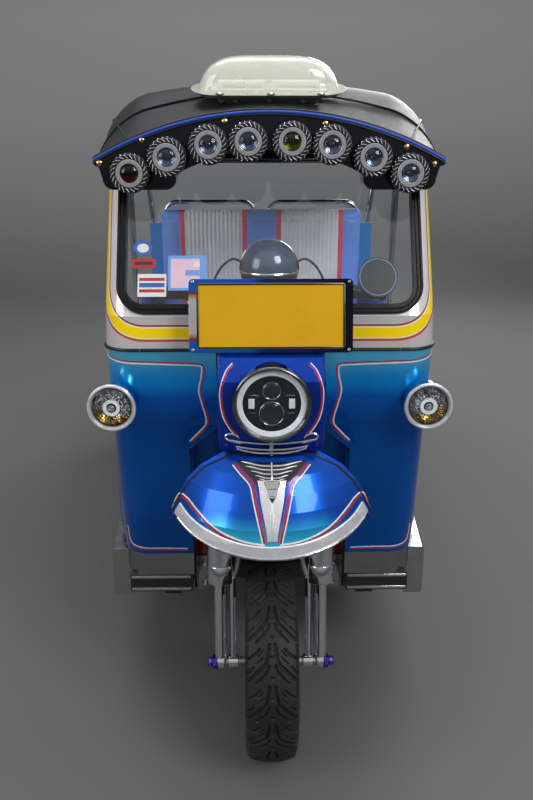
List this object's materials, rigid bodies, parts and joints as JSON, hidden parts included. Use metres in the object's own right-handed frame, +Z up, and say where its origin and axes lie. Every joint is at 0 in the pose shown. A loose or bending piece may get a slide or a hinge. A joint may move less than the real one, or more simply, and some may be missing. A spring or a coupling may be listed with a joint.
{
  "type": "three-wheeled auto rickshaw",
  "caption": "Open-sided motor tricycle taxi with a steered front wheel, a driver's seat, a passenger bench and a canopy roof.",
  "frame": {"origin": "on the ground under the middle of the vehicle's box", "axes": "-Y forward, +Z up, +X to the left of the seated driver"},
  "size_m": [1.36, 3.0399, 1.732],
  "materials": {
    "blue_paint": "metallic blue lacquer",
    "yellow_paint": "gloss yellow paint",
    "frame_paint": "black chassis paint",
    "rim_paint": "silver paint",
    "floor_metal": "chequered sheet",
    "chrome_trim": "polished",
    "steel_pipe": "drawn steel",
    "engine_metal": "cast",
    "black_plastic": "gloss black",
    "cream_plastic": "cream",
    "black_rubber": "matt",
    "tyre_rubber": "matt",
    "clear_glass": "clear",
    "lamp_lens": "clear coloured",
    "canopy_vinyl": "coated cloth",
    "seat_vinyl": "grained vinyl"
  },
  "bodies": {
    "chassis": {"chassis_rails": "frame_paint", "floor_pan": "floor_metal", "side_sills": "chrome_trim", "front_steps": "frame_paint", "front_panel_left": "blue_paint", "front_panel_right": "blue_paint", "sill_plates": "chrome_trim", "wheel_housing": "frame_paint", "dash_panel": "black_plastic", "windscreen_frame": "yellow_paint", "windscreen_gasket": "black_rubber", "windscreen_glass": "clear_glass", "nose_cowl": "blue_paint", "head_lamp_bezel": "chrome_trim", "head_lamp_unit": "black_plastic", "head_lamp_glass": "clear_glass", "nose_grille": "chrome_trim", "plate_holder": "chrome_trim", "number_plate": "yellow_paint", "side_lamp_housings": "chrome_trim", "side_lamp_lenses": "lamp_lens", "roof_canopy": "canopy_vinyl", "roof_header": "black_plastic", "spot_lamps": "black_plastic", "spot_lamp_lenses": "lamp_lens", "sign_base": "cream_plastic", "sign_dome": "clear_glass", "tube_frame": "chrome_trim", "seat_box": "frame_paint", "driver_seat": "seat_vinyl", "driver_backrest": "seat_vinyl", "bench_box": "frame_paint", "bench_cushion": "seat_vinyl", "bench_backrest": "seat_vinyl", "backrest_hoops": "chrome_trim", "rear_tub": "blue_paint", "rear_fenders": "blue_paint", "tail_lamps": "lamp_lens", "rear_bumper": "chrome_trim", "engine_block": "engine_metal", "rear_axle": "frame_paint", "exhaust": "steel_pipe"},
    "steering": {"fork": "chrome_trim", "front_axle": "steel_pipe", "front_fender": "blue_paint", "fender_rim": "chrome_trim", "handlebar": "chrome_trim", "instrument_pod": "black_plastic"},
    "front_wheel": {"front_tyre": "tyre_rubber", "front_wheel_rim": "rim_paint"},
    "rear_wheel_left": {"rear_tyre_left": "tyre_rubber", "rear_wheel_rim_left": "rim_paint"},
    "rear_wheel_right": {"rear_tyre_right": "tyre_rubber", "rear_wheel_rim_right": "rim_paint"}
  },
  "joints": [
    {"name": "steering_turn", "type": "hinge", "parent": "chassis", "child": "steering", "pos_m": [0, -1.265, 0.243], "axis": [0, 0.1908, 0.9816], "range_deg": [-35, 35]},
    {"name": "front_wheel_spin", "type": "hinge", "parent": "steering", "child": "front_wheel", "pos_m": [0, -1.277, 0.243], "axis": [1, 0, 0], "continuous": true},
    {"name": "rear_left_spin", "type": "hinge", "parent": "chassis", "child": "rear_wheel_left", "pos_m": [-0.565, 0.823, 0.254], "axis": [1, 0, 0], "continuous": true},
    {"name": "rear_right_spin", "type": "hinge", "parent": "chassis", "child": "rear_wheel_right", "pos_m": [0.565, 0.823, 0.254], "axis": [1, 0, 0], "continuous": true}
  ]
}
